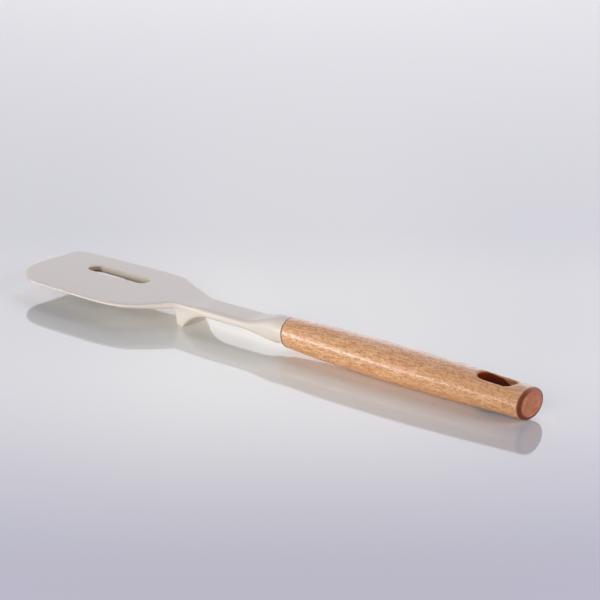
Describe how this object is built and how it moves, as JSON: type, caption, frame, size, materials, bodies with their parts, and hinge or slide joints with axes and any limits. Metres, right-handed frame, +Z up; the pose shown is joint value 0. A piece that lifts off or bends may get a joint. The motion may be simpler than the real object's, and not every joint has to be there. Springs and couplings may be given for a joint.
{
  "type": "pastry spatula",
  "caption": "Slotted silicone spatula with an asymmetric flat blade, a moulded rest foot under the neck and a turned beech handle with a hanging slot.",
  "frame": {"origin": "under the middle of the whole tool, on the surface it lies on", "axes": "+X runs from the blade's tip to the handle's butt, +Y towards the blade's slotted side, +Z up from the surface that the foot and the handle rest on"},
  "size_m": [0.3356, 0.0615, 0.0194],
  "materials": {
    "cream_silicone": "satin moulded silicone",
    "glass_filled_nylon": "matte moulding",
    "stainless_steel": "turned",
    "amber_epoxy": "cured adhesive",
    "oiled_beech": "sanded and oiled"
  },
  "bodies": {
    "root": {"silicone_head": "cream_silicone", "nylon_core": "glass_filled_nylon", "steel_tang": "stainless_steel", "epoxy_bond": "amber_epoxy", "beech_handle": "oiled_beech"}
  },
  "joints": []
}
